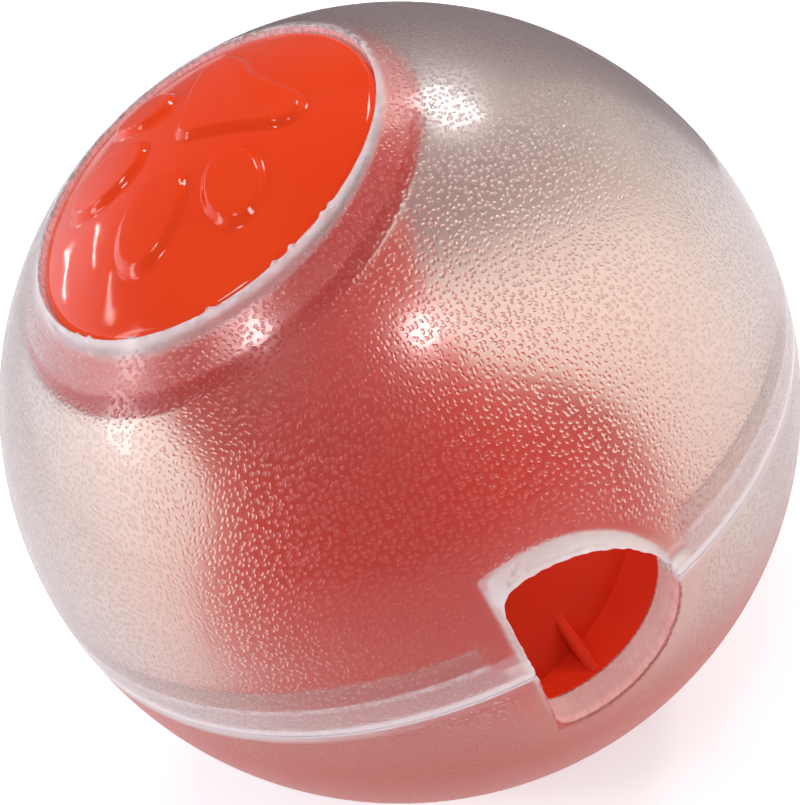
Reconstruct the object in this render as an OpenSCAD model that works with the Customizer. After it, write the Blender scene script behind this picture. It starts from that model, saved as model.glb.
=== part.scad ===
// Treat dispensing ball. Two clear shells meet at a lip round the middle and hold a flared core,
// and a domed cap in the core's neck closes a hole in the upper shell. The treats roll in the space
// between core and shells, and go in and come out by one side opening.
// The origin is the ball's centre. +Z is the upper shell's pole and +X the middle of the opening.
// Every piece is drawn along Z, so the cap's hole is upright although it lies off the pole.

/* [Ball] */
// Outer radius of the ball
ball_r = 40; // [38:0.5:44]
// Wall of both shells
shell_wall = 3.4; // [3:0.1:4]

/* [Seam] */
// Height of the lower shell's tongue, which the upper shell's lip covers
tongue_h = 3.3; // [2:0.1:4.5]
// Gap between the lip and the tongue
lip_gap = 0.3; // [0.2:0.05:0.5]
// Gap between the two shells at the seam
seam_gap = 0.1; // [0.05:0.05:0.3]

/* [Treat opening] */
// Distance from the opening's middle to its straight side
opening_side = 7.1; // [6.5:0.1:7.8]
// Distance from the opening's middle to its tip
opening_tip = 7.3; // [6.5:0.1:8]
// Half of the opening's height
opening_half_h = 9.3; // [8.5:0.1:10]
// Radius of the two corners at the straight side
opening_corner_r = 2.2; // [1.5:0.1:3]
// Radius of the tip
opening_tip_r = 3.2; // [2.5:0.1:4]
// Radius of the bowed flanks
opening_flank_r = 11; // [10.5:0.1:14]
// Width of the full-thickness border beside the opening
opening_border = 3.2; // [2.5:0.1:4]

/* [Core] */
// Place of the core's axis along X
core_x = 2.3; // [1:0.1:3.5]
// Place of the core's axis along Y
core_y = -7.1; // [-8:0.1:-6]
// Wall of the core
core_wall = 1.8; // [1.5:0.1:2.1]
// Outer radius of the core's waist
waist_r = 13.5; // [13.3:0.1:14]
// Height of the waist above the seam
waist_z = 13; // [12:0.5:14]
// Radius of the curve from the waist up to the neck
neck_curve_r = 42; // [38:1:46]
// Radius of the curve from the waist down to the shoulder
flare_curve_r = 35; // [32:0.5:38]
// Radius of the shoulder, which bows outwards
shoulder_curve_r = 44; // [40:1:50]
// Slope from upright where the flare meets the shoulder, in degrees
flare_slope = 34; // [32:1:36]
// Slope from upright of the skirt below the shoulder, in degrees
skirt_slope = 20; // [18:1:22]
// Gap between the core or the cap and the shells
core_gap = 0.3; // [0.2:0.05:0.5]

/* [Core ledge and fin] */
// Depth of the ledge's top below the seam
ledge_depth = 16.6; // [15:0.1:18]
// Thickness of the ledge round the skirt
ledge_t = 1.6; // [1.2:0.1:2]
// Width of the ledge beyond the skirt
ledge_w = 4.6; // [4:0.1:5]
// Depth below the seam at which the fin leaves the skirt
fin_depth = 13; // [12:0.1:14]
// Width of the ledge that the fin's foot takes up
fin_foot_w = 3.7; // [3:0.1:3.9]
// Thickness of the fin behind the opening
fin_t = 1.2; // [1:0.1:2]

/* [Cap] */
// Radius of the cap
cap_r = 16.9; // [16:0.1:17.5]
// Gap round the cap in the upper shell's hole
cap_gap = 0.25; // [0.15:0.05:0.4]
// Depth of the cap's dome below the ball's surface
cap_recess = 0.6; // [0.4:0.1:0.8]
// Thickness of the cap's dome over its hollow
cap_top_t = 2; // [1.6:0.1:2.4]
// Thickness of the upper shell's rim over the cap's flange
rim_t = 1.7; // [1.5:0.1:2]
// Radius of the flange that the upper shell's rim holds down
flange_r = 19.4; // [18.8:0.1:20]
// Thickness of the flange
flange_t = 2; // [1.6:0.1:2.4]
// Outer radius of the spigot inside the neck
spigot_r = 12.9; // [12.4:0.1:12.9]
// Wall of the spigot
spigot_wall = 1.4; // [1.2:0.1:1.6]
// Height of the spigot's lower end above the seam
spigot_z = 24; // [23.5:0.5:26]
// Gap between the flange and the core's neck
seat_gap = 0.05; // [0.05:0.05:0.2]

/* [Paw relief] */
// Height of the paw relief above the dome
relief_h = 0.6; // [0.4:0.1:0.8]
// Turn of the paw about the cap's middle, in degrees
paw_turn = 5; // [-20:1:20]

/* [Hidden] */
$fn = 144;
overrun = 1;
// Radii of the concentric spheres, from the outside in
shell_in_r = ball_r - shell_wall;
lip_in_r = ball_r - (shell_wall - lip_gap) / 2;
tongue_out_r = lip_in_r - lip_gap;
core_out_r = shell_in_r - core_gap;
rebate_r = ball_r - rim_t;
flange_out_r = rebate_r - core_gap;
flange_in_r = flange_out_r - flange_t;
seat_r = flange_in_r - seat_gap;
dome_r = ball_r - cap_recess;
hollow_r = dome_r - cap_top_t;
relief_r = dome_r + relief_h;
// Cut sizes that reach past the whole ball
reach = ball_r + overrun;
// Arc centres of the core's outline, as [distance from its axis, height]
neck_c = [waist_r + neck_curve_r, waist_z];
flare_c = [waist_r + flare_curve_r, waist_z];
shoulder_top = flare_c - flare_curve_r * [cos(flare_slope), sin(flare_slope)];
shoulder_c = shoulder_top - shoulder_curve_r * [cos(flare_slope), sin(flare_slope)];
skirt_top = shoulder_c + shoulder_curve_r * [cos(skirt_slope), sin(skirt_slope)];
// Angle of the neck's arc, which ends above the ball
neck_a = asin((ball_r - waist_z) / neck_curve_r);
// The paw's pad: its three corners as [across the paw, towards the toes], and their radius
pad_shares = [[0, -0.12], [-0.35, -0.43], [0.35, -0.43]];
pad_corner_share = 0.135;
// A toe on each side: its middle, and its half length and half width, in shares of the cap's radius
outer_toe_shares = [0.55, 0, 0.235, 0.17];
inner_toe_shares = [0.285, 0.385, 0.28, 0.2];
paw_shift_share = -0.024;
// Turn of each toe's length away from the line across the paw
outer_toe_a = 28;
inner_toe_a = 62;

// Radius of the core's outside at a depth below the seam, on the shoulder's arc
function shoulder_r_at(depth) =
    shoulder_c[0] + sqrt(pow(shoulder_curve_r, 2) - pow(shoulder_c[1] + depth, 2));

// Points of an arc about c, from angle a to angle b
function arc(c, r, a, b, steps = 12) =
    [for (i = [0:steps]) c + r * [cos(a + (b - a) * i / steps), sin(a + (b - a) * i / steps)]];

// The centre of a circle of radius r that holds the circles [c1, r1] and [c2, r2] from inside
function holding_centre(c1, r1, c2, r2, r) =
    let (
        d = norm(c2 - c1),
        u = (c2 - c1) / d,
        along = (pow(r - r1, 2) - pow(r - r2, 2) + pow(d, 2)) / (2 * d),
        across = sqrt(pow(r - r1, 2) - pow(along, 2))
    )
    c1 + along * u + across * [u[1], -u[0]];

// Angle of the normal on the right of the line from p to q
function normal_a(p, q) = atan2(q[1] - p[1], q[0] - p[0]) - 90;

// The outline of a triangle grown by r, with an arc round each of its corners
function rounded(corners, r) = [
    for (i = [0:2])
        let (
            p = corners[(i + 2) % 3],
            q = corners[i],
            a = normal_a(p, q),
            b = normal_a(q, corners[(i + 1) % 3])
        )
        each arc(q, r, a, b < a ? b + 360 : b, 6)
];

// A toe's outline: an ellipse turned by angle a
function toe_points(toe, a, steps = 32) = [
    for (i = [1:steps])
        let (u = toe[2] * cos(360 * i / steps), v = toe[3] * sin(360 * i / steps))
        cap_r * [toe[0] + u * cos(a) - v * sin(a), toe[1] + u * sin(a) + v * cos(a)]
];

// The opening's outline, as [y, z]: a straight side, two corners, two bowed flanks and a tip
module opening_outline() {
    corner_c = [opening_corner_r - opening_side, opening_half_h - opening_corner_r];
    tip_c = [opening_tip - opening_tip_r, 0];
    flank_c = holding_centre(corner_c, opening_corner_r, tip_c, opening_tip_r, opening_flank_r);
    to_corner = corner_c - flank_c;
    to_tip = tip_c - flank_c;
    corner_a = atan2(to_corner[1], to_corner[0]);
    tip_a = atan2(to_tip[1], to_tip[0]);
    upper = concat(
        arc(tip_c, opening_tip_r, 0, tip_a, 4),
        arc(flank_c, opening_flank_r, tip_a, corner_a),
        arc(corner_c, opening_corner_r, corner_a, 180, 8)
    );
    polygon(concat(upper, [for (i = [len(upper) - 1:-1:1]) [upper[i][0], -upper[i][1]]]));
}

// The opening as a prism along +X, from the ball's middle outwards
module opening_prism() {
    rotate([90, 0, 90]) linear_extrude(height = reach) opening_outline();
}

// A block over the full-thickness border beside the opening, grown by a gap
module border_block(gap) {
    y0 = -opening_side - opening_border - gap;
    y1 = opening_tip + opening_border + gap;
    translate([0, y0, -reach]) cube([reach, y1 - y0, 2 * reach]);
}

// Everything above a height
module above(z) {
    translate([-reach, -reach, z]) cube([2 * reach, 2 * reach, reach]);
}

// Everything below a height
module below(z) {
    translate([-reach, -reach, z - 2 * reach]) cube([2 * reach, 2 * reach, 2 * reach]);
}

// Moves a piece to the core's upright axis
module at_core() {
    translate([core_x, core_y, 0]) children();
}

// The hemisphere below the seam, with a tongue that stops at the opening's border
module lower_shell() color([0.86, 0.66, 0.60, 0.5]) difference() {
    union() {
        difference() {
            sphere(ball_r);
            above(0);
        }
        difference() {
            sphere(tongue_out_r);
            above(tongue_h);
            below(-tongue_h);
            border_block(lip_gap);
        }
    }
    sphere(shell_in_r);
    opening_prism();
}

// The hemisphere above the seam, rebated inside for the tongue, holed for the cap and rebated again
// for the cap's flange
module upper_shell() color([0.88, 0.82, 0.80, 0.5]) difference() {
    sphere(ball_r);
    sphere(shell_in_r);
    below(seam_gap);
    difference() {
        sphere(lip_in_r);
        above(tongue_h + seam_gap);
        border_block(0);
    }
    opening_prism();
    at_core() cylinder(r = cap_r + cap_gap, h = reach);
    intersection() {
        sphere(rebate_r);
        at_core() cylinder(r = flange_r + cap_gap, h = reach);
    }
}

// The core's outline in section, shifted inwards by a depth: neck, flare, shoulder and skirt
function core_line(depth) = concat(
    arc(neck_c, neck_curve_r + depth, 180 - neck_a, 180),
    arc(flare_c, flare_curve_r + depth, 180, 180 + flare_slope),
    arc(shoulder_c, shoulder_curve_r - depth, flare_slope, skirt_slope),
    [skirt_top + [-depth * cos(skirt_slope), -depth * sin(skirt_slope)]
        + ball_r * [sin(skirt_slope), -cos(skirt_slope)]]
);

// The core's wall in section, between its outer and inner outlines
module core_section() {
    inner = core_line(core_wall);
    polygon(concat(core_line(0), [for (i = [len(inner) - 1:-1:0]) inner[i]]));
}

// The ledge round the skirt, which the skirt runs through
module ledge() {
    inner_r = shoulder_r_at(ledge_depth) - core_wall / 2;
    outer_r = shoulder_r_at(ledge_depth) + ledge_w;
    translate([0, 0, -ledge_depth - ledge_t]) difference() {
        cylinder(r = outer_r, h = ledge_t);
        translate([0, 0, -overrun]) cylinder(r = inner_r, h = ledge_t + 2 * overrun);
    }
}

// The fin behind the opening, a three-cornered plate between the skirt and the ledge
module fin() {
    foot_r = shoulder_r_at(ledge_depth) + fin_foot_w;
    foot_x = core_x + sqrt(pow(foot_r, 2) - pow(core_y, 2));
    root_x = core_x + sqrt(pow(shoulder_r_at(fin_depth), 2) - pow(core_y, 2));
    inner_x = root_x - core_wall / 2;
    foot_z = -ledge_depth - ledge_t / 2;
    translate([0, fin_t / 2, 0]) rotate([90, 0, 0]) linear_extrude(height = fin_t)
        polygon([[inner_x, -fin_depth], [root_x, -fin_depth], [foot_x, -ledge_depth], [foot_x, foot_z],
                 [root_x, foot_z]]);
}

// The flared core: open below on the lower shell, and trimmed above to the cap's flange
module treat_core() color([0.80, 0.20, 0.12]) intersection() {
    union() {
        at_core() rotate_extrude() core_section();
        at_core() ledge();
        fin();
    }
    sphere(core_out_r);
    union() {
        sphere(seat_r);
        below(0);
    }
}

// The paw's outline: a three-cornered pad and four toes in mirrored pairs
module paw_outline() {
    polygon(rounded(cap_r * pad_shares, cap_r * pad_corner_share));
    for (side = [0, 1]) mirror([side, 0]) {
        polygon(toe_points(outer_toe_shares, outer_toe_a));
        polygon(toe_points(inner_toe_shares, inner_toe_a));
    }
}

// The domed cap: a plug in the shell's hole, a flange under it, a spigot in the neck and the relief
module paw_cap() color([0.93, 0.30, 0.14]) difference() {
    union() {
        intersection() {
            sphere(dome_r);
            at_core() cylinder(r = cap_r, h = reach);
        }
        intersection() {
            sphere(flange_out_r);
            at_core() cylinder(r = flange_r, h = reach);
        }
        intersection() {
            sphere(relief_r);
            at_core() translate([paw_shift_share * cap_r, 0, 0]) rotate(paw_turn) mirror([0, 1])
                linear_extrude(height = reach) paw_outline();
        }
    }
    difference() {
        sphere(flange_in_r);
        at_core() cylinder(r = spigot_r, h = reach);
    }
    intersection() {
        sphere(hollow_r);
        at_core() cylinder(r = spigot_r - spigot_wall, h = reach);
    }
    below(spigot_z);
}

lower_shell();
treat_core();
paw_cap();
upper_shell();
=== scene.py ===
import math

import bmesh
import bpy
import numpy as np
from mathutils import Matrix, Vector
from mathutils.geometry import delaunay_2d_cdt


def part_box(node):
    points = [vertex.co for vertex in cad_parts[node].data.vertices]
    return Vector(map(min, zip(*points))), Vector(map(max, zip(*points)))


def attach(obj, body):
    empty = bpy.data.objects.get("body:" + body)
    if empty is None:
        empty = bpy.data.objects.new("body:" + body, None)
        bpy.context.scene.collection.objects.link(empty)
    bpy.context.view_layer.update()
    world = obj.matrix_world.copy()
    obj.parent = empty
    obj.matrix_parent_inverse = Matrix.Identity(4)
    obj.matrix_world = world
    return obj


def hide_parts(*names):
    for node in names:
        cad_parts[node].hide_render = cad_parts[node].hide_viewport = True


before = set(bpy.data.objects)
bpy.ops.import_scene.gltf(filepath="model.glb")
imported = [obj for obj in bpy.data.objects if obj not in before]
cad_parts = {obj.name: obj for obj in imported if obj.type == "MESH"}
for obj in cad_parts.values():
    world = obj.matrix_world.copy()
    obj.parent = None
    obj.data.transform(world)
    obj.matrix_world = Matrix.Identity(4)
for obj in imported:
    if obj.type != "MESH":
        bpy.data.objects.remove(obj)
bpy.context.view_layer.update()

# Sizes of the ball, in metres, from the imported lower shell
BALL_R = -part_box("lower_shell")[0][2]
MM = BALL_R / 40
SHELL_WALL = 3.4 * MM
SHELL_IN_R = BALL_R - SHELL_WALL
CORE_GAP = 0.3 * MM
CORE_OUT_R = SHELL_IN_R - CORE_GAP

# The upright axis that the core, the cap and the cap's hole share
CORE_X = 2.3 * MM
CORE_Y = -7.1 * MM

# The seam: the upper shell's lip lies round the lower shell's tongue
SEAM_GAP = 0.1 * MM
TONGUE_H = 3.3 * MM
LIP_IN_R = BALL_R - 1.55 * MM
TONGUE_OUT_R = BALL_R - 1.85 * MM

# The treat opening's outline, across (y) and up (z), and its full-thickness border
OPENING_SIDE = 7.1 * MM
OPENING_TIP = 7.3 * MM
OPENING_HALF_H = 9.3 * MM
OPENING_CORNER_R = 2.2 * MM
OPENING_TIP_R = 3.2 * MM
OPENING_FLANK_R = 11.0 * MM
OPENING_BORDER = 3.2 * MM
OPENING_MARGIN = 0.1 * MM

# The core's outline
CORE_WALL = 1.8 * MM
WAIST_R = 13.5 * MM
WAIST_Z = 13.0 * MM
NECK_CURVE_R = 42.0 * MM
FLARE_CURVE_R = 35.0 * MM
SHOULDER_CURVE_R = 44.0 * MM
FLARE_SLOPE = math.radians(34)
SKIRT_SLOPE = math.radians(20)

# The core's ledge and the fin on it, with the rounding of their edges, how far in from its edge
# the ledge's flat rows lie, and how far its root stays off the shell
LEDGE_DEPTH = 16.6 * MM
LEDGE_T = 1.6 * MM
LEDGE_W = 4.6 * MM
LEDGE_EDGE_R = 0.3 * MM
LEDGE_FLAT_ROW = 2.0 * MM
LEDGE_ROOT_GAP = 0.1 * MM
FIN_DEPTH = 13.0 * MM
FIN_FOOT_W = 3.7 * MM
FIN_T = 1.2 * MM
FIN_EDGE_R = 0.5 * MM
FIN_STEP = 0.15 * MM

# The cap, and the rebate under the shell's rim in which its flange lies
CAP_R = 16.9 * MM
CAP_GAP = 0.25 * MM
CAP_EDGE_R = 0.55 * MM
CAP_FOOT = 0.1 * MM
DOME_R = BALL_R - 0.6 * MM
HOLLOW_R = DOME_R - 2.0 * MM
REBATE_R = BALL_R - 1.7 * MM
FLANGE_R = 19.4 * MM
FLANGE_OUT_R = REBATE_R - CORE_GAP
FLANGE_IN_R = FLANGE_OUT_R - 2.0 * MM
FLANGE_CHAMFER = 0.2 * MM
SEAT_R = FLANGE_IN_R - 0.05 * MM
SPIGOT_R = 12.9 * MM
SPIGOT_WALL = 1.4 * MM
SPIGOT_Z = 24.0 * MM
SPIGOT_CHAMFER = 0.3 * MM

# The paw relief, its height and its shoulders' reach past its outline and inside it
RELIEF_H = 0.6 * MM
RELIEF_OUT = 0.15 * MM
RELIEF_IN = 0.75 * MM

# The paw's pad and toes, in shares of the cap's radius, across the paw and towards the toes. The
# bite is a circle's place and radius, and a toe an ellipse's place, half sizes and turn in degrees.
PAD_CORNER_SHARES = np.array([[0.0, -0.12], [-0.35, -0.43], [0.35, -0.43]])
PAD_ROUND_SHARE = 0.135
PAD_BITE_SHARES = (0.0, -0.96, 0.44)
PAD_SOFT_SHARE = 0.05
TOE_SHARES = ((0.55, 0.0, 0.235, 0.17, 28), (0.285, 0.385, 0.28, 0.20, 62))
PAW_SHIFT_SHARE = -0.024
PAW_TURN = math.radians(5)

# Rounding of the shells' edges, how many of its radii the next row of points lies from the corner,
# the gap between an inner corner and the row beside it, and the step along an edge line
EDGE_R = 0.15 * MM
HOLE_EDGE_R = 0.28 * MM
GUARD_RADII = 1.6
ROW_GAP = 0.05 * MM
LINE_STEP = 0.25 * MM

# The ripple on the opening's edge, and on the edge of the cap's hole the nubs of flash: their
# turns about its axis, their half width as a turn, their height, and the small ones' in millimetres
EDGE_RIPPLE = 0.12 * MM
HOLE_RIPPLE = 0.16 * MM
FLASH_TURNS = np.array([5.17, 5.46, 5.90, 6.26, 0.08])
FLASH_HALF_TURN = 0.017
FLASH_H = 0.40 * MM
SMALL_FLASH_COUNT = 8
SMALL_FLASH_MM = (0.1, 0.28)
RIPPLE_WAVES = 24
FLASH_SHARES = np.array([0, 0.4, 0.8, 1, 0.8, 0.3])

# The grid of points on a shell's skins, in the plane where the sphere is seen from its pole: its
# gap, its half side, the height of its rows in gaps, and the least gap to an edge line in gaps
SKIN_GAP = 0.02
SKIN_REACH = 1.15
SKIN_ROW = 0.866
SKIN_CLEAR = 0.6

# How finely the shapes are divided: points round the ball's seam, the cap's hole, the cap, the
# core and the ledge, and rows down the core's wall
SEAM_POINTS = 900
HOLE_POINTS = 600
CAP_POINTS = 560
CORE_POINTS = 240
LEDGE_POINTS = 300
CORE_ROWS = 110

# Points closer than this are joined, shorter edges are removed, and sharper edges stay sharp
MERGE_GAP = 2e-3 * MM
SLIVER = 1e-4 * MM
SHARP_ANGLE = math.radians(40)

# The clear plastic: its refraction, what one wall leaves of white light above, below and at a cut
# face, and what a light ray that passes straight through keeps. The warmer tint below is painted red light
# from the core.
SHELL_IOR = 1.42
SHELL_TINT = (0.98, 0.89, 0.82)
PAINTED_WARM_TINT = (0.97, 0.82, 0.72)
CUT_TINT = (0.95, 0.88, 0.85)
THROUGH_TINT = (0.93, 0.90, 0.89, 1.0)

# How much the clear plastic blurs, and how much less at its inner skin and at a cut face. The gloss
# over it: its own blur, its share at grazing angles, and how much less of it lies low on the ball
BLUR = 0.28
BLUR_LESS_INSIDE = 0.14
BLUR_LESS_CUT = 0.10
GLOSS_BLUR = 0.10
GLOSS_SHARE = 0.56
GLOSS_LESS_LOW = 0.22

# The milk in the clear plastic: above the seam, and below it outside and at a cut face, where its red and
# pink are painted light from the red core
MILK = (0.96, 0.89, 0.91)
PAINTED_RED_MILK = (0.60, 0.12, 0.085)
PAINTED_PINK_CUT_MILK = (0.93, 0.50, 0.45)

# How much milk there is, as a share. A pair is what there is without frost, and what frost adds.
CUT_MILK = 0.28
# Below the seam cut faces carry more milk, and its pink there is painted light from the core
CUT_MORE_BELOW = 0.34
RIM_MILK = (0.30, 0.35)
RIM_LESS_BELOW = 0.6
OPENING_MILK = (0.35, 0.35)
# The lip's line is milky edge with a painted highlight over it; the tongue's line and the band over it are
# painted highlights where the tongue shows through the wall
LIP_MILK_AND_HIGHLIGHT = (0.50, 0.25)
TONGUE_PAINTED_LINE = (0.25, 0.30)
PAINTED_BAND_SHARE = 0.20
HOLE_MILK = 0.60
# The share of painted red glow, standing in for the core's light, on the lower shell's outside
PAINTED_GLOW_SHARE = 0.93
TOUCHING_SHARE = 0.88

# The pebbles: the gap between them, their height, how far they wander and how uneven their net is.
# Their radius, in gaps, is the first size and up to the second more, and falls off in a side.
PEBBLE_GAP = 0.60 * MM
PEBBLE_H = 0.050 * MM
PEBBLE_DRIFT = 0.45 * MM
PEBBLE_UNEVEN = 0.7
PEBBLE_SIZE = (0.31, 0.15)
PEBBLE_SIDE = (1.0, 0.3)
DRIFT_GRAIN = 0.9 * MM

# Frost: the grain of its noise, and the noise's band over which it rises
FROST_GRAIN = 0.45 * MM
FROST_BAND = (0.35, 0.65)

# Where the masks on the clear shell change. A pair is the two places at which a mask is 0 and 1:
# a distance outside the opening or the cap's hole, a height over the seam, or a distance from the
# ball's centre. A single number is a depth, or a reach to both sides of a line.
SKIN_DEEP = 0.30 * MM
SKIN_SHALLOW = 0.12 * MM
FAR_SIDE = (0.1 * BALL_R, 0.0)
PEBBLES_BY_OPENING = (1.6 * MM, 3.0 * MM)
PEBBLES_BY_HOLE = (0.7 * MM, 1.6 * MM)
PEBBLES_BY_SEAM = (0.4 * MM, 1.2 * MM)
LOWER_PART = (-0.02 * BALL_R, -0.32 * BALL_R)
BELOW_SEAM = (-0.1 * MM, -1.2 * MM)
RIM_DEPTH = (BALL_R - 1.3 * MM, BALL_R - 0.5 * MM)
REBATE_START = (0.1 * MM, 0.4 * MM)
REBATE_END = (3.2 * MM, 2.8 * MM)
REBATE_WALL = 0.20 * MM
OPENING_EDGE = (0.26 * MM, 0.08 * MM)
HOLE_EDGE = (1.1 * MM, 0.2 * MM)
# How far from the skirt the painted red glow reaches, and the grazing angles over which it rises
PAINTED_GLOW_REACH = (22 * MM, 11 * MM)
PAINTED_GLOW_ASLANT = (0.20, 0.55)
# Where the lip's milk and painted highlight, and the painted line and band over the tongue, lie
LIP_LOW = (-0.32 * MM, -0.18 * MM)
LIP_HIGH = (1.1 * MM, 0.6 * MM)
TONGUE_LINE = 0.40 * MM
TONGUE_BY_OPENING = (2.6 * MM, 3.4 * MM)
LIP_BAND_LOW = (0.0, 0.1 * MM)
LIP_BAND_HIGH = (TONGUE_H + 0.3 * MM, TONGUE_H)
TOUCHING_DEPTH = (LIP_IN_R + 0.25 * MM, LIP_IN_R + 0.10 * MM)
TOUCHING_BY_OPENING = (1.0 * MM, 2.0 * MM)
TOUCHING_HIGH = (TONGUE_H + 1.4 * MM, TONGUE_H + 0.7 * MM)

# Radius at which the skirt's slope, drawn on upwards, meets the plane of the seam
SKIRT_FLOOR_R = 18.7 * MM

# The red plastics: two colours that drift into each other, and the colour below the cap's dome,
# which on the cap is darker as painted shade under the shell's rim; the height of their waves, the size of
# their grain and waves, and where the third colour begins
CORE_REDS = ((0.70, 0.020, 0.005), (0.60, 0.014, 0.004), (0.65, 0.024, 0.006))
CAP_REDS = ((0.88, 0.060, 0.005), (0.84, 0.048, 0.004), (0.60, 0.022, 0.010))
CORE_WAVE = 0.05 * MM
CAP_WAVE = 0.10 * MM
RED_GRAIN = 0.25 * MM
WAVE_GRAIN = 4.5 * MM
UNDER_DOME = (FLANGE_OUT_R + 0.5 * MM, FLANGE_OUT_R + 0.1 * MM)

# The unevenness of the red plastics: a broad cloud's size and band, what cloud and grain add to the
# roughness, and the grain's share of the waves
RED_IOR = 1.5
CLOUD_SIZE = BALL_R / 3
CLOUD_BAND = (0.3, 0.75)
CLOUD_ROUGH = 0.10
GRAIN_ROUGH = 0.04
GRAIN_IN_WAVE = 0.02

# The camera: where it stands in ball radii, and how the photograph is turned
CAMERA_SPAN = 3.6
CAMERA_BACK = Vector((0.77067, -0.14023, 0.62161))
CAMERA_RIGHT = Vector((0.43318, 0.83072, -0.34965))
SENSOR = 36.0
PHOTO_LONG_SIDE = 805
FOCAL_PX = 1387.6

# The studio's walls and ceiling, as seen from the ball, and the level way to its front
LEFT_WALL = (1.56, 1.54, 1.74)
BACK_WALL = (0.24, 0.22, 0.24)
RIGHT_WALL = (1.08, 0.94, 0.75)
FRONT_WALL = (0.09, 0.08, 0.09)
CEILING = (0.36, 0.33, 0.39)
FRONT_X = 0.98
FRONT_Y = -0.18

# Where the walls and the ceiling begin and are full, along the way across, to the front and up
LEFT_BAND = (-0.15, -0.75)
RIGHT_BAND = (0.15, 0.75)
FRONT_BAND = (0.05, 0.55)
CEILING_BAND = (0.20, 0.75)

# The pale floor, and its own light for the camera and for other rays
FLOOR_HALF = 1.5
FLOOR_GAP = 0.05 * MM
FLOOR_COLOUR = (0.93, 0.93, 0.93, 1)
FLOOR_SHOWN = (0.35, 0.35, 0.35)
FLOOR_GLOW = (0.21, 0.20, 0.20)

# The grey card behind the ball: its near edge, width and height in metres, and its colour
CARD_X = -0.078
CARD_Y = 0.014
CARD_W = 0.12
CARD_TOP = 0.12
CARD_COLOUR = (0.30, 0.27, 0.29, 1)

# The soft panels: the way to each, its distance, width and height in metres, and its watts
LAMPS = {
    "key": ((0.50, 0.78, 0.38), 0.8, 0.60, 0.60, 0.30),
    "side": ((0.45, 0.80, 0.33), 0.8, 0.08, 0.08, 0.66),
    "upper_glint": ((-0.302, 0.641, 0.705), 0.5, 0.12, 0.09, 0.65),
    "front_glint": ((0.633, 0.102, 0.767), 0.5, 0.07, 0.07, 0.40),
    "left_glint": ((0.205, -0.436, 0.876), 0.5, 0.06, 0.06, 0.32),
    "low_glint": ((-0.195, -0.881, 0.431), 0.5, 0.10, 0.10, 0.24),
    "rim_glint": ((-0.262, -0.743, 0.616), 0.5, 0.08, 0.08, 0.14),
}

# The thin panels that the cap mirrors as upright streaks: the way to each, and what they share, a
# distance, width and height in metres, and watts
STREAKS = {
    "streak_a": (-0.836, -0.474, 0.278),
    "streak_b": (-0.777, -0.443, 0.446),
    "streak_c": (-0.565, -0.595, 0.572),
}
STREAK_SIZE = (0.6, 0.006, 0.11, 0.05)

# Outputs of the Light Path node
CAMERA_RAY = 0
SHADOW_RAY = 1
DIFFUSE_RAY = 2
TRANSMISSION_RAY = 6


class Value:
    """A number on a shader socket. Arithmetic on it adds Math nodes to the material."""

    def __init__(self, finish, socket):
        self.finish, self.socket = finish, socket

    def math(self, operation, *others):
        return self.finish.node("ShaderNodeMath", {"operation": operation}, self, *others)[0]

    def __add__(self, o):
        return self.math("ADD", o)

    def __radd__(self, o):
        return self.math("ADD", o)

    def __sub__(self, o):
        return self.math("SUBTRACT", o)

    def __rsub__(self, o):
        return self * -1 + o

    def __mul__(self, o):
        return self.math("MULTIPLY", o)

    def __rmul__(self, o):
        return self.math("MULTIPLY", o)

    def __truediv__(self, o):
        return self.math("DIVIDE", o)

    def size(self):
        return self.math("ABSOLUTE")

    def root(self):
        return self.math("SQRT")

    def over(self, o):
        return self.math("GREATER_THAN", o)

    def high(self, o):
        return self.math("MAXIMUM", o)

    def step(self, start, end):
        """0 below start, 1 above end and smooth between. A start above the end turns it over."""
        if start > end:
            return 1 - self.step(end, start)
        settings = {"interpolation_type": "SMOOTHSTEP"}
        return self.finish.node("ShaderNodeMapRange", settings, self, start, end, 0.0, 1.0)[0]

    def near(self, width):
        """1 where the value is near 0, and 0 from a width away."""
        return self.size().step(width, 0.5 * width)


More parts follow.
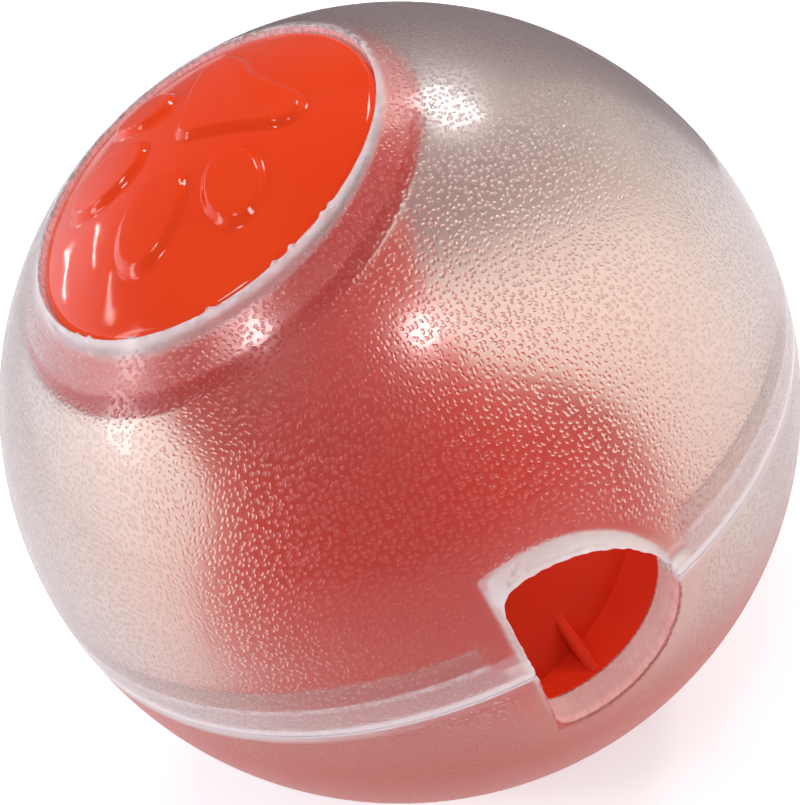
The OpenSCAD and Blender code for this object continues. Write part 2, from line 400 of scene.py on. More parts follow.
class Finish:
    """A node tree of a new material, or of the world that is given. node() adds any node from its
    type, its settings and its sockets' values."""

    def __init__(self, name, owner=None):
        self.material = owner or bpy.data.materials.new(name)
        self.material.use_nodes = True
        self.tree = self.material.node_tree
        self.tree.nodes.clear()

    def node(self, kind, settings=None, *values, **named):
        made = self.tree.nodes.new(kind)
        for key, setting in (settings or {}).items():
            setattr(made, key, setting)
        sockets = [*zip(made.inputs, values)]
        sockets += [(made.inputs[key.replace("_", " ")], value) for key, value in named.items()]
        for socket, value in sockets:
            if isinstance(value, Value):
                self.tree.links.new(value.socket, socket)
            elif value is not None:
                socket.default_value = value
        return [Value(self, out) for out in made.outputs]

    def place(self):
        """The point on the object, in metres."""
        return self.node("ShaderNodeTexCoord")[3]

    def parts(self, vector):
        return self.node("ShaderNodeSeparateXYZ", None, vector)

    def length(self, vector):
        return self.node("ShaderNodeVectorMath", {"operation": "LENGTH"}, vector)[1]

    def noise(self, vector, scale, detail=2.0):
        return self.node("ShaderNodeTexNoise", None, Vector=vector, Scale=scale, Detail=detail)[0]

    def rays(self, *kinds):
        """1 on light paths of the kinds that are named, and 0 on others."""
        path = self.node("ShaderNodeLightPath")
        found = path[kinds[0]]
        for kind in kinds[1:]:
            found = found.high(path[kind])
        return found

    def mix(self, factor, a, b):
        """Colour a where the factor is 0 and b where it is 1."""
        made = self.tree.nodes.new("ShaderNodeMix")
        made.data_type = "RGBA"
        for socket, value in ((made.inputs[0], factor), (made.inputs[6], a), (made.inputs[7], b)):
            if isinstance(value, Value):
                self.tree.links.new(value.socket, socket)
            else:
                socket.default_value = value if socket is made.inputs[0] else (*value, 1.0)
        return Value(self, made.outputs[2])

    def bump(self, height, distance):
        return self.node("ShaderNodeBump", None, Strength=1.0, Distance=distance, Height=height)[0]

    def plastic(self, **sockets):
        return self.node("ShaderNodeBsdfPrincipled", None, **sockets)[0]

    def blend(self, factor, a, b):
        """Shader a where the factor is 0 and b where it is 1."""
        return self.node("ShaderNodeMixShader", None, factor, a, b)[0]

    def out(self, shader, kind="ShaderNodeOutputMaterial"):
        self.node(kind, None, shader)
        return self.material


def axis_distance(x, y):
    """Distance of a point from the upright axis of the core and the cap."""
    dx, dy = x - CORE_X, y - CORE_Y
    return (dx * dx + dy * dy).root()


def opening_distance(x, y, z):
    """Distance outside the opening's outline: the greater of those outside its straight side and
    its bowed flank. It is large on the far side of the ball."""
    flank_y, flank_z = opening_arcs()[2]
    across = y - float(flank_y)
    up = z.size() - float(flank_z)
    flank = (across * across + up * up).root() - OPENING_FLANK_R
    side = y * -1 - OPENING_SIDE
    return flank.high(side) + x.step(*FAR_SIDE) * BALL_R


def hole_distance(x, y, z):
    """Distance outside the cap's hole, level with the seam, and large below the seam."""
    return axis_distance(x, y) - (CAP_R + CAP_GAP) + z.step(*FAR_SIDE) * BALL_R


class ShellPlace:
    """Where a point lies on a clear shell, as values: its coordinates, its distances from the
    holes, and masks for the outer skin, the inner skin, a cut face, below the seam, and frost."""

    def __init__(self, finish):
        self.point = finish.place()
        self.x, self.y, self.z = finish.parts(self.point)
        self.radius = finish.length(self.point)
        self.outside = self.radius.step(BALL_R - SKIN_DEEP, BALL_R - SKIN_SHALLOW)
        self.inside = self.radius.step(SHELL_IN_R + SKIN_DEEP, SHELL_IN_R + SKIN_SHALLOW)
        self.cut = 1 - self.outside - self.inside
        self.below = self.z.step(*BELOW_SEAM)
        self.to_opening = opening_distance(self.x, self.y, self.z)
        self.from_hole = hole_distance(self.x, self.y, self.z)
        self.frost = finish.noise(self.point, 1 / FROST_GRAIN).step(*FROST_BAND)

    def frosted(self, base, more):
        """A share that frost raises from a base by up to more."""
        return base + more * self.frost


def cube_place(f, at):
    """A place on the ball in two coordinates: the angles, on the face of a cube that it lies over,
    towards that face's two other axes."""
    x, y, z = at.x, at.y, at.z
    a, b, c = x.size(), y.size(), z.size()
    on_x = a.over(b) * a.over(c)
    on_y = (1 - on_x) * b.over(c)
    on_z = 1 - on_x - on_y
    u = on_x * (y / a) + on_y * (x / b) + on_z * (y / c)
    v = on_x * (z / a) + on_y * (z / b) + on_z * (x / c)
    u, v = (w.math("ARCTANGENT") * BALL_R for w in (u, v))
    return f.node("ShaderNodeCombineXYZ", None, u, v, 0.0)[0]


def pebble_normal(f, at):
    """Small round pebbles on the outer skin, as the height of a bump: one at the point of each cell
    of an uneven net, level in its middle and soft at its side. They stop short of the edges."""
    by_holes = at.to_opening.step(*PEBBLES_BY_OPENING) * at.from_hole.step(*PEBBLES_BY_HOLE)
    pebbled = at.outside * by_holes * at.z.size().step(*PEBBLES_BY_SEAM)
    drift = f.node("ShaderNodeTexNoise", None, Vector=at.point, Scale=1 / DRIFT_GRAIN, Detail=1.0)[1]
    reach = (PEBBLE_DRIFT,) * 3
    spot = f.node("ShaderNodeVectorMath", {"operation": "MULTIPLY_ADD"}, drift, reach, cube_place(f, at))[0]
    net = {"feature": "F1", "voronoi_dimensions": "2D"}
    cells = f.node("ShaderNodeTexVoronoi", net, Vector=spot, Scale=1 / PEBBLE_GAP, Randomness=PEBBLE_UNEVEN)
    far, shade = cells[:2]
    least, more = PEBBLE_SIZE
    size = least + more * f.parts(shade)[0]
    return f.bump((far / size).step(*PEBBLE_SIDE) * pebbled, PEBBLE_H)


def painted_red_glow(f, at):
    """How much painted red glow, standing in for the core's light, the lower shell shows where it is
    seen aslant from outside: most near the skirt, drawn on upwards, and none far from it."""
    over_skirt = axis_distance(at.x, at.y) - SKIRT_FLOOR_R + math.tan(SKIRT_SLOPE) * at.z
    aslant = f.node("ShaderNodeLayerWeight", None, 0.5)[1].step(*PAINTED_GLOW_ASLANT)
    from_outside = 1 - f.node("ShaderNodeNewGeometry")[6]
    return PAINTED_GLOW_SHARE * at.below * at.outside * aslant * from_outside * over_skirt.step(*PAINTED_GLOW_REACH)


def cloudiness(f, at):
    """How milky the plastic is. Cut faces are, more so near the outside and below the seam, save the
    rebate's ceiling, and so are the opening's sharp edge and the hole's edge. The lip's edge is milky with
    a painted highlight over it, and the line over the tongue's top and the band over the tongue are painted
    highlights where the tongue shows through the wall. The greatest holds, plus the painted red glow of the
    core's light."""
    rim = at.frosted(*RIM_MILK) * at.radius.step(*RIM_DEPTH) * (1 - RIM_LESS_BELOW * at.below)
    on_rebate = at.from_hole.step(*REBATE_START) * at.from_hole.step(*REBATE_END)
    cloudy = at.cut * (CUT_MILK + CUT_MORE_BELOW * at.below + rim) * (1 - on_rebate)
    cloudy = cloudy.high(at.frosted(*OPENING_MILK) * at.to_opening.step(*OPENING_EDGE))
    # Painted red glow of the core's light on the lower shell
    cloudy = cloudy + painted_red_glow(f, at)
    # The lip's milky edge with a painted highlight, and painted highlights where the tongue's top and the
    # band over it show through
    lip = at.frosted(*LIP_MILK_AND_HIGHLIGHT) * at.z.step(*LIP_LOW) * at.z.step(*LIP_HIGH)
    painted_tongue_line = at.frosted(*TONGUE_PAINTED_LINE) * (at.z - TONGUE_H).near(TONGUE_LINE)
    painted_tongue_line = painted_tongue_line * at.to_opening.step(*TONGUE_BY_OPENING)
    band = PAINTED_BAND_SHARE * at.z.step(*LIP_BAND_LOW) * at.z.step(*LIP_BAND_HIGH)
    hole_edge = HOLE_MILK * at.frost * at.from_hole.step(*HOLE_EDGE)
    return cloudy.high(at.outside * lip.high(painted_tongue_line).high(band).high(hole_edge))


def touching(at):
    """1 on the faces of lip and tongue that lie close together, and on the rebate's wall."""
    seam = at.cut * at.radius.step(*TOUCHING_DEPTH) * at.to_opening.step(*TOUCHING_BY_OPENING)
    rebate = at.cut * (at.from_hole - FLANGE_R + CAP_R).near(REBATE_WALL)
    return (seam * at.z.step(*TOUCHING_HIGH)).high(rebate)


def clear_shell():
    """Clear, slightly milky plastic: softly blurring glass, a sharper gloss over its outside at
    grazing angles, and milk, which below the seam carries painted red light from the core and along the
    seam painted highlights. Shadows and diffuse light pass straight through it."""
    f = Finish("clear_shell")
    at = ShellPlace(f)
    normal = pebble_normal(f, at)
    low = at.z.step(*LOWER_PART)
    # Below the seam the tint is warmer: painted red light from the core
    tint = f.mix(at.cut, f.mix(low, SHELL_TINT, PAINTED_WARM_TINT), CUT_TINT)
    blur = BLUR - BLUR_LESS_INSIDE * at.inside - BLUR_LESS_CUT * at.cut
    glass = f.plastic(Base_Color=tint, Roughness=blur, IOR=SHELL_IOR, Specular_IOR_Level=0.15,
                      Transmission_Weight=1.0, Normal=normal)
    gloss = f.plastic(Base_Color=(1, 1, 1, 1), Metallic=1.0, Roughness=GLOSS_BLUR, Normal=normal)
    grazing = f.node("ShaderNodeFresnel", None, SHELL_IOR, normal)[0]
    coated = f.blend(grazing * at.outside * (GLOSS_SHARE - GLOSS_LESS_LOW * low), glass, gloss)
    # Below the seam the milk's red and pink are painted light from the core
    white = f.mix(at.below, MILK, f.mix(at.cut, PAINTED_RED_MILK, PAINTED_PINK_CUT_MILK))
    milk = f.plastic(Base_Color=white, Roughness=0.35, Specular_IOR_Level=0.2, Normal=normal)
    wall = f.blend(cloudiness(f, at), coated, milk)
    through = f.node("ShaderNodeBsdfTransparent", None, THROUGH_TINT)[0]
    passing = f.rays(SHADOW_RAY, DIFFUSE_RAY).high(TOUCHING_SHARE * touching(at))
    return f.out(f.blend(passing, wall, through))


def red_plastic(name, reds, roughness, shine, wave):
    """Glossy orange-red moulding, a little uneven in colour, gloss and flatness, and another colour
    on what lies below the cap's dome, which on the cap is darker: painted shade under the shell's rim."""
    f = Finish(name)
    p = f.place()
    colour, deep, hidden = reds
    cloud = f.noise(p, 1 / CLOUD_SIZE, 3.0)
    grain = f.noise(p, 1 / RED_GRAIN)
    # Below the cap's dome the third colour; on the cap it is painted shade under the shell's rim
    base = f.mix(f.length(p).step(*UNDER_DOME), f.mix(cloud.step(*CLOUD_BAND), colour, deep), hidden)
    rough = roughness + CLOUD_ROUGH * (cloud - 0.5) + GRAIN_ROUGH * (grain - 0.5)
    normal = f.bump(f.noise(p, 1 / WAVE_GRAIN, 1.0) + GRAIN_IN_WAVE * grain, wave)
    shader = f.plastic(Base_Color=base, Roughness=rough, IOR=RED_IOR, Specular_IOR_Level=shine,
                       Normal=normal)
    return f.out(shader)


def grid_piece(name, points, loop_u=False, loop_v=False, material=None):
    """A mesh over a grid of points [u, v, xyz]: quads between neighbours, and round where it loops."""
    nu, nv = points.shape[:2]
    u = np.arange(nu if loop_u else nu - 1)
    v = np.arange(nv if loop_v else nv - 1)
    a, b = (g.ravel() for g in np.meshgrid(u, v, indexing="ij"))
    a2, b2 = (a + 1) % nu, (b + 1) % nv
    quads = np.stack([a * nv + b, a2 * nv + b, a2 * nv + b2, a * nv + b2], 1)
    mesh = bpy.data.meshes.new(name)
    mesh.vertices.add(nu * nv)
    mesh.vertices.foreach_set("co", points.reshape(-1, 3).astype(np.float32).ravel())
    mesh.loops.add(quads.size)
    mesh.loops.foreach_set("vertex_index", quads.ravel().astype(np.int32))
    mesh.polygons.add(len(quads))
    mesh.polygons.foreach_set("loop_start", np.arange(0, quads.size, 4, dtype=np.int32))
    mesh.update(calc_edges=True)
    return finished(name, mesh, material)


def finished(name, mesh, material):
    """Joins a mesh's doubled points, turns its faces outwards, smooths it up to its sharp edges and
    puts it in the scene."""
    mesh.validate()
    b = bmesh.new()
    b.from_mesh(mesh)
    bmesh.ops.remove_doubles(b, verts=b.verts, dist=MERGE_GAP)
    bmesh.ops.dissolve_degenerate(b, edges=b.edges, dist=SLIVER)
    bmesh.ops.recalc_face_normals(b, faces=b.faces)
    b.to_mesh(mesh)
    b.free()
    mesh.polygons.foreach_set("use_smooth", np.ones(len(mesh.polygons), bool))
    mesh.set_sharp_from_angle(angle=SHARP_ANGLE)
    mesh.update()
    piece = bpy.data.objects.new(name, mesh)
    bpy.context.scene.collection.objects.link(piece)
    if material:
        mesh.materials.append(material)
    return piece


def unit(v):
    return v / np.linalg.norm(v, axis=-1, keepdims=True)


def smooth_step(value, start, end):
    """0 up to start, 1 from end, and t t (3 - 2 t) of the share t between them."""
    t = np.clip((value - start) / (end - start), 0, 1)
    return t * t * (3 - 2 * t)


def dome_z(x, y, r):
    """Height of a sphere of radius r about the ball's centre, over a place."""
    return np.sqrt(np.maximum(r * r - x * x - y * y, 0))


def arc(centre, r, a, b, steps):
    """Points of a circle about a centre, from angle a to angle b."""
    t = np.linspace(a, b, steps)
    return np.stack([centre[0] + r * np.cos(t), centre[1] + r * np.sin(t)], 1)


def closed_line(points, step):
    """A closed line through points, resampled at an even step and eased over its corners."""
    loop = np.vstack([points, points[:1]])
    run = np.concatenate([[0], np.cumsum(np.linalg.norm(np.diff(loop, axis=0), axis=1))])
    s = np.linspace(0, run[-1], int(run[-1] / step), endpoint=False)
    line = np.stack([np.interp(s, run, loop[:, i]) for i in range(loop.shape[1])], 1)
    for _ in range(2):
        line = (np.roll(line, 1, 0) + 2 * line + np.roll(line, -1, 0)) / 4
    return line


def rounded_corner(corner, a, b, r, steps=6):
    """Rows of a quarter round between two faces that leave a corner along a and b: the corner
    plus r a and r b, less r a by the sine and r b by the cosine of an angle from 0 to 90."""
    t = np.linspace(0, math.pi / 2, steps)[:, None, None]
    return corner + r * (a + b) - r * (a * np.sin(t) + b * np.cos(t))


def opening_arcs():
    """The centres of the opening's corner, tip and bowed flank, and the flank's angles towards the
    corner and the tip. The flank's circle holds the corner's and the tip's circles from inside."""
    corner = np.array([OPENING_CORNER_R - OPENING_SIDE, OPENING_HALF_H - OPENING_CORNER_R])
    tip = np.array([OPENING_TIP - OPENING_TIP_R, 0.0])
    apart = np.linalg.norm(tip - corner)
    u = (tip - corner) / apart
    to_corner, to_tip = OPENING_FLANK_R - OPENING_CORNER_R, OPENING_FLANK_R - OPENING_TIP_R
    along = (to_corner ** 2 - to_tip ** 2 + apart ** 2) / (2 * apart)
    flank = corner + along * u + math.sqrt(to_corner ** 2 - along ** 2) * np.array([u[1], -u[0]])
    corner_a = math.atan2(*(corner - flank)[::-1])
    tip_a = math.atan2(*(tip - flank)[::-1])
    return corner, tip, flank, corner_a, tip_a


def within(loop, points):
    """Which points of the plane lie inside a closed line, by counting its crossings to one side."""
    (x0, y0), (x1, y1) = loop.T, np.roll(loop, -1, 0).T
    px, py = points[:, :1], points[:, 1:]
    spans = (y0 > py) != (y1 > py)
    rise = np.where(y1 == y0, 1e-30, y1 - y0)
    return (spans & (px < x0 + (py - y0) * (x1 - x0) / rise)).sum(1) % 2 == 1


def between(flat, points):
    """Which points of the plane lie inside the first closed line and outside the second, if any."""
    keep = within(flat[0], points)
    for hole in flat[1:]:
        keep &= ~within(hole, points)
    return keep


def skin(r, edge, hole):
    """A sphere's skin between an edge line and a hole line: Delaunay triangles in the plane where
    the sphere is seen from its far pole, (x, y) / (r + z), over an even grid of points."""
    lines = [line for line in (edge, hole) if line is not None]
    flat = [line[:, :2] / (np.linalg.norm(line, axis=1) + line[:, 2])[:, None] for line in lines]
    side = np.arange(-SKIN_REACH, SKIN_REACH, SKIN_GAP)
    gx, gy = np.meshgrid(side, side * SKIN_ROW)
    gx = gx + (np.arange(len(side)) % 2)[:, None] * SKIN_GAP / 2
    grid = np.stack([gx.ravel(), gy.ravel()], 1)
    keep = between(flat, grid)
    for line in flat:
        near = np.abs((grid @ [1, 1j])[:, None] - (line @ [1, 1j])[None, :]).min(1)
        keep &= near > SKIN_CLEAR * SKIN_GAP
    grid = grid[keep]
    fall = (grid ** 2).sum(1)
    dome = r * np.stack([2 * grid[:, 0], 2 * grid[:, 1], 1 - fall], 1) / (1 + fall)[:, None]
    flat_all, solid = np.vstack([*flat, grid]), np.vstack([*lines, dome])
    edges, start = [], 0
    for line in flat:
        n = np.arange(len(line))
        edges += np.stack([start + n, start + (n + 1) % len(line)], 1).tolist()
        start += len(line)
    made = delaunay_2d_cdt([Vector(q) for q in flat_all.tolist()], edges, [], 0, 1e-9)
    source = np.array([ids[0] for ids in made[3]])
    faces = source[np.array(made[2])]
    return solid, faces[between(flat, flat_all[faces].mean(1))]


def strip_faces(rows, columns):
    """Quads of a strip whose columns run round a closed line."""
    a, b = (g.ravel() for g in np.meshgrid(np.arange(rows - 1), np.arange(columns), indexing="ij"))
    b2 = (b + 1) % columns
    return np.stack([a * columns + b, a * columns + b2, (a + 1) * columns + b2, (a + 1) * columns + b], 1)


def shell_edge(seam):
    """The sharp line where a shell's outside would meet its seam and its half of the opening: up
    the straight side, over the corner and the bowed flank, down the tip and round the seam."""
    corner, tip, flank, corner_a, tip_a = opening_arcs()
    notch = np.concatenate([
        [[-OPENING_SIDE, seam]],
        arc(corner, OPENING_CORNER_R, math.pi, corner_a, 24),
        arc(flank, OPENING_FLANK_R, corner_a, tip_a, 60)[1:],
        arc(tip, OPENING_TIP_R, tip_a, math.asin(seam / OPENING_TIP_R), 24)[1:],
    ])
    front = np.column_stack([np.sqrt(BALL_R ** 2 - (notch ** 2).sum(1)), notch])
    level = math.sqrt(BALL_R ** 2 - seam ** 2)
    from_tip, from_side = math.asin(OPENING_TIP / level), math.asin(OPENING_SIDE / level)
    turn = np.linspace(from_tip, 2 * math.pi - from_side, SEAM_POINTS)[1:-1]
    back = np.stack([level * np.cos(turn), level * np.sin(turn), np.full(turn.shape, seam)], 1)
    line = closed_line(np.vstack([front, back]), LINE_STEP)
    return line * (BALL_R / np.linalg.norm(line, axis=1, keepdims=True))


def seam_strip(upper):
    """Rows of points round a shell's seam and its half of the opening: a rounded and rippled outer
    edge, the side wall with the lip or the tongue, and a rounded inner edge. A row on a smaller
    sphere keeps each point's turn about the ball's axis, and beside the opening its y."""
    fit_r, step = (LIP_IN_R, TONGUE_H) if upper else (TONGUE_OUT_R, -TONGUE_H)
    corner = shell_edge(SEAM_GAP if upper else 0.0)
    x, y, z = corner.T
    turn = np.arctan2(y, x)
    front = x > 0
    fitted = ~(front & (y > -OPENING_SIDE - OPENING_BORDER) & (y < OPENING_TIP + OPENING_BORDER))
    beside = np.where(y < 0, -OPENING_SIDE - y, y - OPENING_TIP)
    straight = np.where(front, 1 - smooth_step(beside, OPENING_MARGIN, OPENING_BORDER), 0)

    def across(r, height):
        level = np.sqrt(r * r - height * height)
        along_x = np.arcsin(np.clip(y / level, -1, 1))
        a = turn + straight * (along_x - turn)
        return np.stack([level * np.cos(a), level * np.sin(a), height], 1)

    up = unit(np.cross(corner, np.roll(corner, -1, 0) - np.roll(corner, 1, 0)))
    rise = np.where(fitted, step, 0)
    fit, deep = across(fit_r, z), across(fit_r, z + rise)
    back = across(SHELL_IN_R, z + rise)
    inward, outward = unit(fit - corner), unit(deep - back)
    back_up = unit(up - (up * unit(back)).sum(1, keepdims=True) * unit(back))
    by_opening = front & (y > -OPENING_SIDE - OPENING_MARGIN) & (y < OPENING_TIP + OPENING_MARGIN)
    draw = np.random.default_rng(11)
    rough = np.convolve(draw.uniform(-1, 1, len(corner)), [0.3, 0.5, 0.3], "same") * by_opening
    ripple = EDGE_RIPPLE * rough[:, None] * (up + unit(corner) * 0.5)
    return np.stack([
        *(rounded_corner(corner, up, inward, EDGE_R) + ripple),
        corner + inward * EDGE_R * GUARD_RADII,
        fit - inward * ROW_GAP, fit, deep,
        back + outward * EDGE_R * GUARD_RADII,
        *rounded_corner(back, outward, back_up, EDGE_R),
    ])


def flash_size(a):
    """How far the flash stands off the edge of the cap's hole at an angle: nubs, each a bell curve
    of the angle, and a ripple from a sum of sines."""
    draw = np.random.default_rng(5)
    places = np.concatenate([FLASH_TURNS, draw.uniform(0, 2 * math.pi, SMALL_FLASH_COUNT)])
    small = draw.uniform(*SMALL_FLASH_MM, SMALL_FLASH_COUNT) * MM
    tall = np.concatenate([np.full(len(FLASH_TURNS), FLASH_H), small])
    apart = (a[:, None] - places + math.pi) % (2 * math.pi) - math.pi
    nubs = (tall * np.exp(-(apart / FLASH_HALF_TURN) ** 2)).sum(1)
    waves, shift = draw.integers(20, 160, RIPPLE_WAVES), draw.uniform(0, 2 * math.pi, RIPPLE_WAVES)
    ripple = np.sin(a[:, None] * waves + shift).sum(1) / RIPPLE_WAVES
    return nubs + HOLE_RIPPLE * np.abs(ripple)


def hole_strip():
    """Rows of points round the cap's hole: a rounded rim with its flash, the upright wall down to
    the rebate's ceiling, the ceiling, the rebate's wall and a rounded inner edge. Each is a circle
    about the core's axis, set on a sphere."""
    a = np.linspace(0, 2 * math.pi, HOLE_POINTS, endpoint=False)
    way = np.stack([np.cos(a), np.sin(a), 0 * a], 1)
    drop = np.array([0.0, 0.0, -1.0]) + 0 * way

    def ring(rho, r):
        foot = np.array([CORE_X, CORE_Y, 0]) + rho * way
        return foot - drop * dome_z(foot[:, 0], foot[:, 1], r)[:, None]

    def along_skin(edge):
        return unit(way - (way * unit(edge)).sum(1, keepdims=True) * unit(edge))

    top, rim = ring(CAP_R + CAP_GAP, BALL_R), ring(CAP_R + CAP_GAP, REBATE_R)
    deep, low = ring(FLANGE_R + CAP_GAP, REBATE_R), ring(FLANGE_R + CAP_GAP, SHELL_IN_R)
    flash = flash_size(a)[:, None] * (0.7 * unit(top) - 0.7 * way)
    brink = rounded_corner(top, along_skin(top), drop, HOLE_EDGE_R)
    return np.stack([
        *(brink + FLASH_SHARES[:, None, None] * flash),
        top + drop * HOLE_EDGE_R * GUARD_RADII,
        rim - drop * ROW_GAP, rim, (rim + deep) / 2, deep,
        low - drop * EDGE_R * GUARD_RADII,
        *rounded_corner(low, -drop, along_skin(low), EDGE_R),
    ])


def shell_piece(name, half, material):
    """One shell, drawn with its pole upwards: a strip round its seam and its half of the opening,
    the upper shell's second strip round the cap's hole, and spherical skins between them."""
    strips = [seam_strip(True), hole_strip()] if half > 0 else [seam_strip(False)]
    points, faces, start = [], [], 0
    for strip in strips:
        points.append(strip.reshape(-1, 3))
        faces += (strip_faces(*strip.shape[:2]) + start).tolist()
        start += len(points[-1])
    for r, row in ((BALL_R, 0), (SHELL_IN_R, -1)):
        mouth = strips[1][row] if half > 0 else None
        solid, triangles = skin(r, strips[0][row], mouth)
        points.append(solid)
        faces += (triangles + start).tolist()
        start += len(solid)
    mesh = bpy.data.meshes.new(name)
    mesh.from_pydata((np.vstack(points) * [1, 1, half]).tolist(), [], faces)
    return finished(name, mesh, material)


def pad_distance(a, t):
    """Distance outside the pad: a triangle's, less its corners' radius, and past a bite at the
    heel, with a soft greater of the two."""
    corners = PAD_CORNER_SHARES
    nearest, in_triangle = np.full(a.shape, 1e9), np.ones(a.shape, bool)
    for i in range(3):
        (px, py), (qx, qy) = corners[i], corners[(i + 1) % 3]
        ex, ey, wx, wy = qx - px, qy - py, a - px, t - py
        s = np.clip((wx * ex + wy * ey) / (ex * ex + ey * ey), 0, 1)
        nearest = np.minimum(nearest, np.hypot(wx - s * ex, wy - s * ey))
        in_triangle &= (ex * wy - ey * wx) > 0
    triangle = np.where(in_triangle, -nearest, nearest) - PAD_ROUND_SHARE
    bite_a, bite_t, bite_r = PAD_BITE_SHARES
    bite = bite_r - np.hypot(a - bite_a, t - bite_t)
    mix = np.clip(0.5 + 0.5 * (triangle - bite) / PAD_SOFT_SHARE, 0, 1)
    return bite * (1 - mix) + triangle * mix + PAD_SOFT_SHARE * mix * (1 - mix)


def toe_distance(a, t, toe):
    """Distance outside a turned ellipse, to first order: its level less 1, over its slope."""
    x0, y0, half_l, half_w, turn = toe
    c, s = math.cos(math.radians(turn)), math.sin(math.radians(turn))
    u, v = (a - x0) * c + (t - y0) * s, -(a - x0) * s + (t - y0) * c
    level = np.maximum(np.hypot(u / half_l, v / half_w), 1e-3)
    slope = np.hypot(u / half_l ** 2, v / half_w ** 2) / level
    return (level - 1) / np.maximum(slope, 1e-3)


def paw_height(x, y):
    """Height of the relief at a place on the cap: flat tops whose shoulders are smooth steps of the
    distance inside the nearest outline."""
    dx, dy = (x - CORE_X) / CAP_R - PAW_SHIFT_SHARE, (y - CORE_Y) / CAP_R
    a = dx * math.cos(PAW_TURN) + dy * math.sin(PAW_TURN)
    t = dx * math.sin(PAW_TURN) - dy * math.cos(PAW_TURN)
    distance = pad_distance(a, t)
    for toe in TOE_SHARES:
        distance = np.minimum(distance, toe_distance(np.abs(a), t, toe))
    return RELIEF_H * smooth_step(-distance * CAP_R, -RELIEF_OUT, RELIEF_IN)


def cap_piece(material):
    """The cap as one profile turned about its axis: dome with relief, rounded rim, side, flange,
    spigot and hollow. Each ring of points lies on a sphere about the ball's centre or level."""
    phi = np.linspace(0, 2 * math.pi, CAP_POINTS, endpoint=False)
    rows = []

    def ring(rho, height):
        x, y = CORE_X + rho * np.cos(phi), CORE_Y + rho * np.sin(phi)
        rows.append(np.stack([x, y, height(x, y)], 1))

    def on_sphere(rho, r, lift=0.0):
        ring(rho, lambda x, y: dome_z(x, y, r) + lift)

    def level(rho, z):
        ring(rho, lambda x, y: 0 * x + z)

    for rho in np.linspace(0, CAP_R - CAP_EDGE_R, 100):
        ring(rho, lambda x, y: dome_z(x, y, DOME_R) + paw_height(x, y))
    for a in np.linspace(0, math.pi / 2, 8)[1:]:
        on_sphere(CAP_R - CAP_EDGE_R + CAP_EDGE_R * math.sin(a), DOME_R, -CAP_EDGE_R * (1 - math.cos(a)))
    on_sphere(CAP_R, FLANGE_OUT_R, CAP_FOOT)
    on_sphere(CAP_R, FLANGE_OUT_R)
    on_sphere(FLANGE_R - FLANGE_CHAMFER, FLANGE_OUT_R)
    on_sphere(FLANGE_R, FLANGE_OUT_R - FLANGE_CHAMFER)
    on_sphere(FLANGE_R, FLANGE_IN_R + FLANGE_CHAMFER)
    on_sphere(FLANGE_R - FLANGE_CHAMFER, FLANGE_IN_R)
    on_sphere(SPIGOT_R, FLANGE_IN_R)
    level(SPIGOT_R, SPIGOT_Z + SPIGOT_CHAMFER)
    level(SPIGOT_R - SPIGOT_CHAMFER, SPIGOT_Z)
    level(SPIGOT_R - SPIGOT_WALL, SPIGOT_Z)
    for rho in np.linspace(SPIGOT_R - SPIGOT_WALL, 0, 12):
        on_sphere(rho, HOLLOW_R)
    return grid_piece("cap_moulding", np.stack(rows, 1), loop_u=True, material=material)


def shoulder_centre():
    """The centre of the shoulder's arc, which meets the flare's arc tangentially at its slope."""
    flare_c = np.array([WAIST_R + FLARE_CURVE_R, WAIST_Z])
    out = np.array([math.cos(FLARE_SLOPE), math.sin(FLARE_SLOPE)])
    return flare_c - (FLARE_CURVE_R + SHOULDER_CURVE_R) * out


def core_line(depth):
    """The core's outline [distance from its axis, height], shifted inwards by a depth: the neck's,
    the flare's and the shoulder's arcs and the straight skirt, each tangent to the next."""
    neck_c = np.array([WAIST_R + NECK_CURVE_R, WAIST_Z])
    flare_c = np.array([WAIST_R + FLARE_CURVE_R, WAIST_Z])
    shoulder_c = shoulder_centre()
    neck_a = math.asin((BALL_R - WAIST_Z) / NECK_CURVE_R)
    low = np.array([math.cos(SKIRT_SLOPE), math.sin(SKIRT_SLOPE)])
    skirt = shoulder_c + (SHOULDER_CURVE_R - depth) * low
    down = np.array([math.sin(SKIRT_SLOPE), -math.cos(SKIRT_SLOPE)])
    return np.concatenate([
        arc(neck_c, NECK_CURVE_R + depth, math.pi - neck_a, math.pi, 40),
        arc(flare_c, FLARE_CURVE_R + depth, math.pi, math.pi + FLARE_SLOPE, 40)[1:],
        arc(shoulder_c, SHOULDER_CURVE_R - depth, FLARE_SLOPE, SKIRT_SLOPE, 60)[1:],
        skirt + np.linspace(0, BALL_R, 60)[1:, None] * down,
    ])


def around_core(rho, z, phi):
    """Points at a distance from the core's axis, a height and a turn about it."""
    return np.stack([CORE_X + rho * np.cos(phi), CORE_Y + rho * np.sin(phi), z + 0 * phi], -1)


def trimmed_line(line, phi):
    """One side of the core's wall at a turn: the outline between the cap's seat and the shell,
    resampled to the same number of rows."""
    p = around_core(line[:, 0], line[:, 1], np.full(len(line), phi))
    size = np.linalg.norm(p, axis=1)
    run = np.concatenate([[0], np.cumsum(np.hypot(*np.diff(line, axis=0).T))])
    waist = int(np.argmin(line[:, 0]))
    top = np.interp(-SEAT_R, -size[:waist + 1], run[:waist + 1])
    foot = np.interp(CORE_OUT_R, size[waist:], run[waist:])
    s = np.linspace(top, foot, CORE_ROWS)
    return np.stack([np.interp(s, run, line[:, 0]), np.interp(s, run, line[:, 1])], 1)


